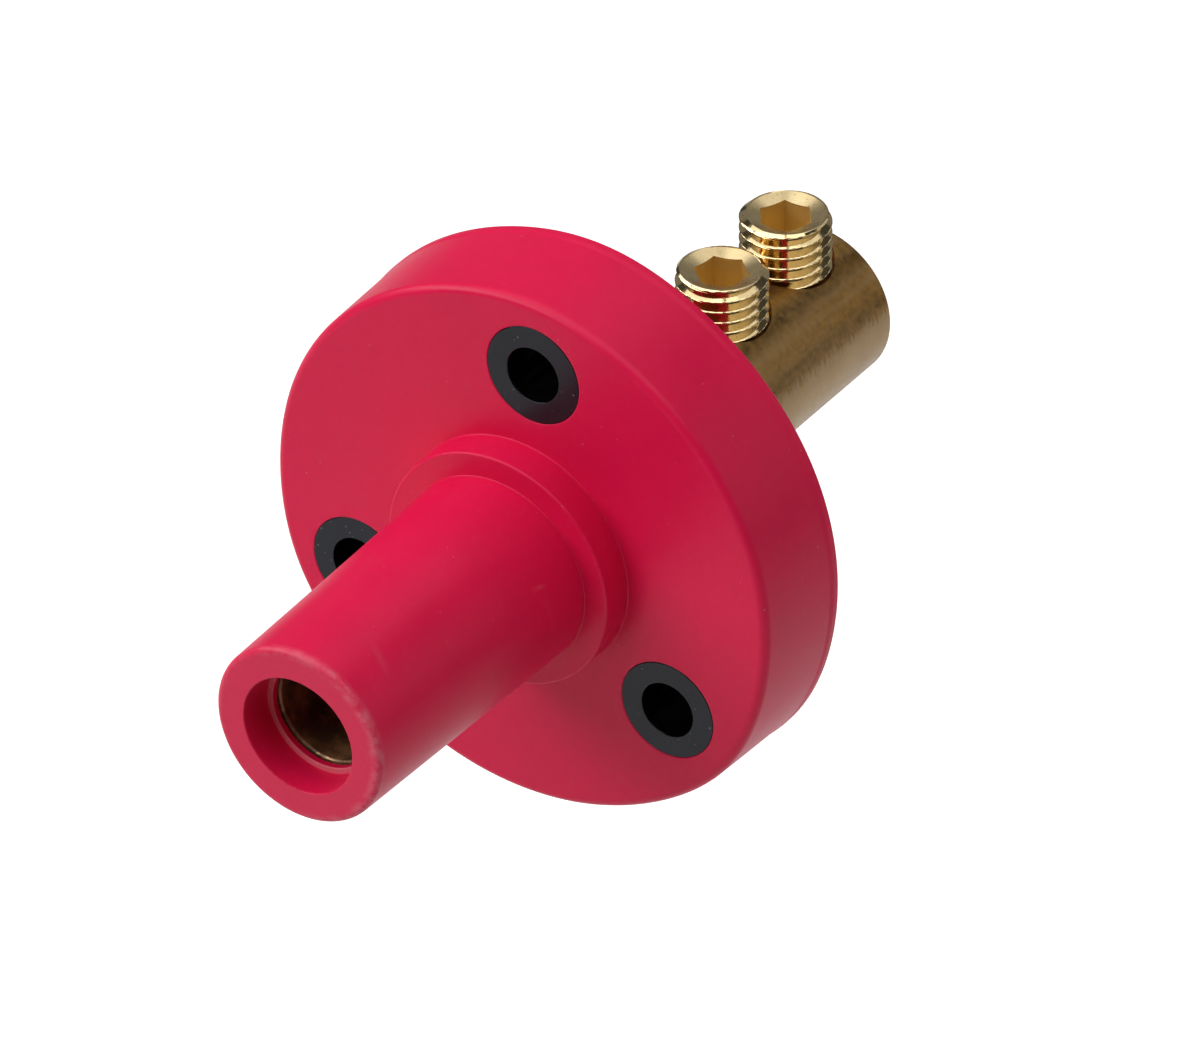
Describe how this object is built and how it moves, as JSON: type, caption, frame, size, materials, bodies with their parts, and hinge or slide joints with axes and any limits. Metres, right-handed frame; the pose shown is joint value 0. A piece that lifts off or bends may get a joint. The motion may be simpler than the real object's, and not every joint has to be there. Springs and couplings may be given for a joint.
{
  "type": "single-pole panel-mount female power connector",
  "caption": "Round-flanged female power receptacle: a plug enters the rubber nose, and clamping screws hold the cable in the brass barrel behind the panel.",
  "frame": {"origin": "centre of the flange's rear face, which lies against the panel", "axes": "+Y along the connector's axis, from the plug's side to the cable; +Z along the clamping screws, out of the barrel"},
  "size_m": [0.0509, 0.0794, 0.0512],
  "materials": {
    "red_rubber": "satin moulded rubber",
    "turned_brass": "as turned, slightly dull",
    "bright_brass": "polished",
    "pin_brass": "drawn",
    "black_plastic": "satin moulded"
  },
  "bodies": {
    "receptacle": {"insulator_body": "red_rubber", "contact_body": "turned_brass", "cam_pin": "pin_brass", "mounting_bush_1": "black_plastic", "mounting_bush_2": "black_plastic", "mounting_bush_3": "black_plastic"},
    "front_screw": {"set_screw_front": "bright_brass"},
    "rear_screw": {"set_screw_rear": "bright_brass"}
  },
  "joints": [
    {"name": "front_screw_travel", "type": "slide", "parent": "receptacle", "child": "front_screw", "axis": [0, 0, -1], "range_m": [-0.00212, 0.00529]},
    {"name": "rear_screw_travel", "type": "slide", "parent": "receptacle", "child": "rear_screw", "axis": [0, 0, -1], "range_m": [-0.00212, 0.00529]}
  ]
}
